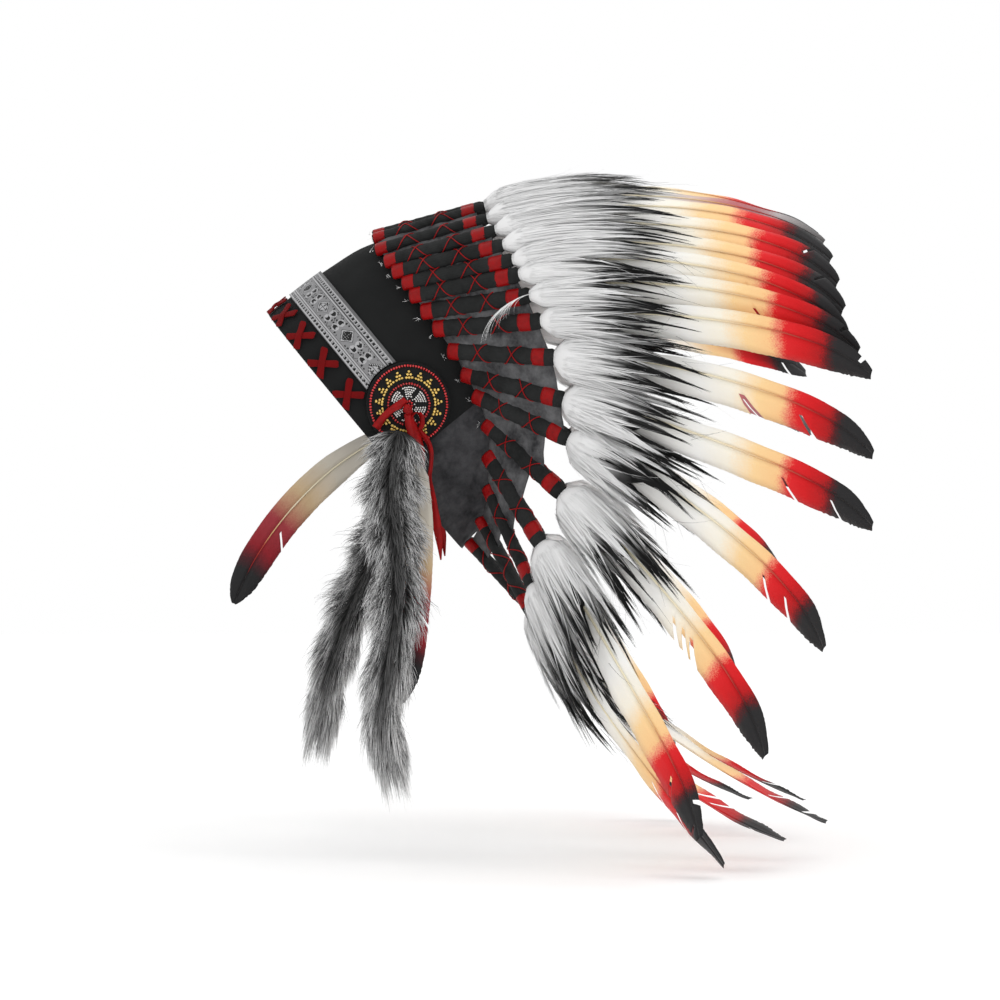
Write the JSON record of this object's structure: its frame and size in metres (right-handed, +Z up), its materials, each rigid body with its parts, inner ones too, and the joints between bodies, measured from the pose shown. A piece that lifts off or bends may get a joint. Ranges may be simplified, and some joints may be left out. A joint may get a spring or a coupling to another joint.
{
  "type": "feathered headdress",
  "caption": "Felt cap with a brocade brow band, beaded rosettes, ribbons, fur and feather drops, and a full fan of wrapped quills with plumes and long dyed feathers.",
  "frame": {"origin": "inside the cap, on its middle plane, level with the middle of the brow and midway over the head opening: where a head carries the cap", "axes": "+Z up, -Y the way the face looks, +X the wearer's left; the rim falls 50.4 degrees from the brow to the nape"},
  "size_m": [0.4651, 0.4912, 0.509],
  "materials": {
    "black_felt": "matt cotton felt, black",
    "charcoal_cloth": "thin soft cloth, charcoal, matt",
    "grey_brocade": "woven brocade ribbon, silver grey with black figures",
    "red_felt": "red felt straps, matt",
    "seed_beads": "opaque glossy seed beads in red, gold and white on black felt",
    "red_satin": "red satin ribbon with a soft sheen",
    "grey_fur": "long soft fur, dark roots and silver tips",
    "wrapped_sleeve": "black cloth wrapped round quills, with red satin bands and crossed red thread",
    "dyed_feather": "goose feather, white at the foot, tan and red further out, black at the tip"
  },
  "bodies": {
    "root": {"cap": "black_felt", "neck_flap": "charcoal_cloth", "brow_band": "grey_brocade", "cross_left_1": "red_felt", "cross_left_2": "red_felt", "cross_left_3": "red_felt", "cross_left_4": "red_felt", "cross_left_5": "red_felt", "rosette_left": "seed_beads", "ribbon_left": "red_satin", "fur_drop_left": "grey_fur", "drop_feather_left": "dyed_feather", "cross_right_1": "red_felt", "cross_right_2": "red_felt", "cross_right_3": "red_felt", "cross_right_4": "red_felt", "cross_right_5": "red_felt", "rosette_right": "seed_beads", "ribbon_right": "red_satin", "fur_drop_right": "grey_fur", "drop_feather_right": "dyed_feather", "fan_top": "wrapped_sleeve", "fan_left": "wrapped_sleeve", "fan_right": "wrapped_sleeve", "fan_nape": "wrapped_sleeve", "feather_top": "dyed_feather", "feather_left_01": "dyed_feather", "feather_left_02": "dyed_feather", "feather_left_03": "dyed_feather", "feather_left_04": "dyed_feather", "feather_left_05": "dyed_feather", "feather_left_06": "dyed_feather", "feather_left_07": "dyed_feather", "feather_left_08": "dyed_feather", "feather_left_09": "dyed_feather", "feather_left_10": "dyed_feather", "feather_left_11": "dyed_feather", "feather_left_12": "dyed_feather", "feather_left_13": "dyed_feather", "feather_left_14": "dyed_feather", "feather_left_15": "dyed_feather", "feather_left_16": "dyed_feather", "feather_right_01": "dyed_feather", "feather_right_02": "dyed_feather", "feather_right_03": "dyed_feather", "feather_right_04": "dyed_feather", "feather_right_05": "dyed_feather", "feather_right_06": "dyed_feather", "feather_right_07": "dyed_feather", "feather_right_08": "dyed_feather", "feather_right_09": "dyed_feather", "feather_right_10": "dyed_feather", "feather_right_11": "dyed_feather", "feather_right_12": "dyed_feather", "feather_right_13": "dyed_feather", "feather_right_14": "dyed_feather", "feather_right_15": "dyed_feather", "feather_right_16": "dyed_feather"}
  },
  "joints": []
}
